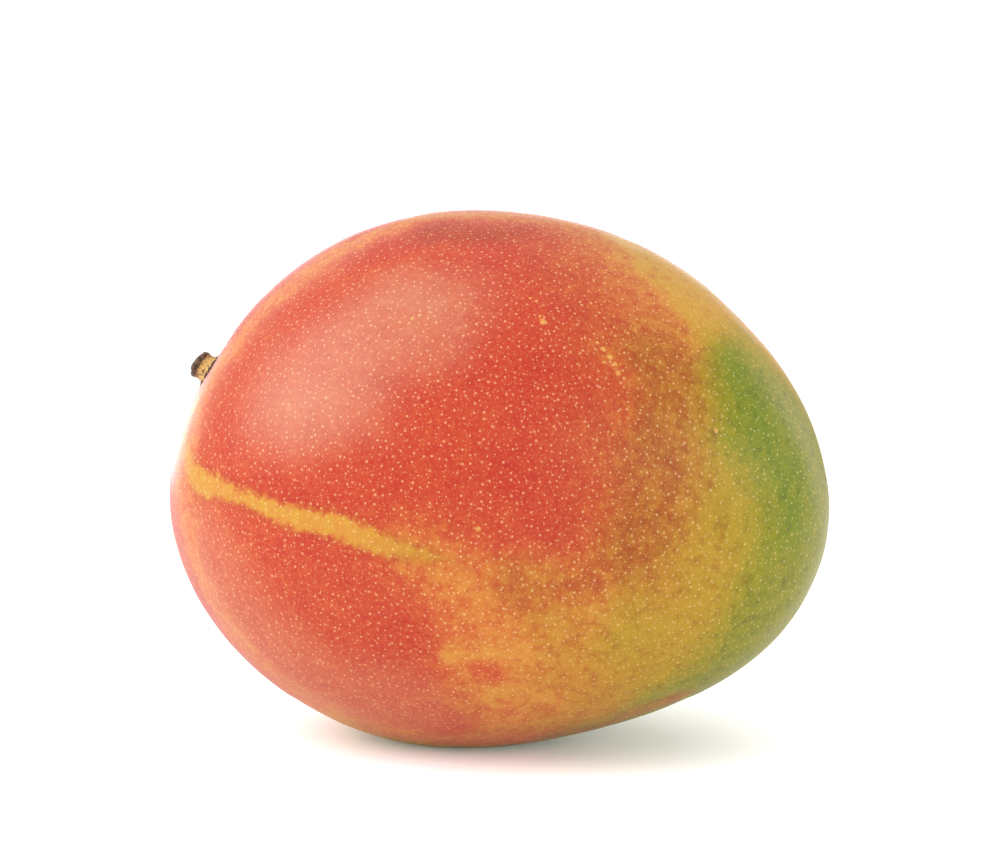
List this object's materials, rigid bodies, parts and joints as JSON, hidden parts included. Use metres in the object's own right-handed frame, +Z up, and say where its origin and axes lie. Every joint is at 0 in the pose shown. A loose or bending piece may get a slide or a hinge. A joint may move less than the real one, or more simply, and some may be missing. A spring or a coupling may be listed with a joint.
{
  "type": "mango",
  "caption": "Whole ripe mango lying on its side on a small flat spot, with the short broken stub of its woody stem.",
  "frame": {"origin": "middle of the small flat spot that the fruit rests on", "axes": "+Z up; +X from the stem end to the tip, along the fruit; +Y across the fruit from cheek to cheek"},
  "size_m": [0.1155, 0.0854, 0.0923],
  "materials": {
    "skin": "smooth waxy fruit skin, red blush over yellow and green, soft satin sheen",
    "stem_wood": "dry rough stem wood, dull"
  },
  "bodies": {
    "root": {"mango_fruit": "skin", "stem_stub": "stem_wood"}
  },
  "joints": []
}
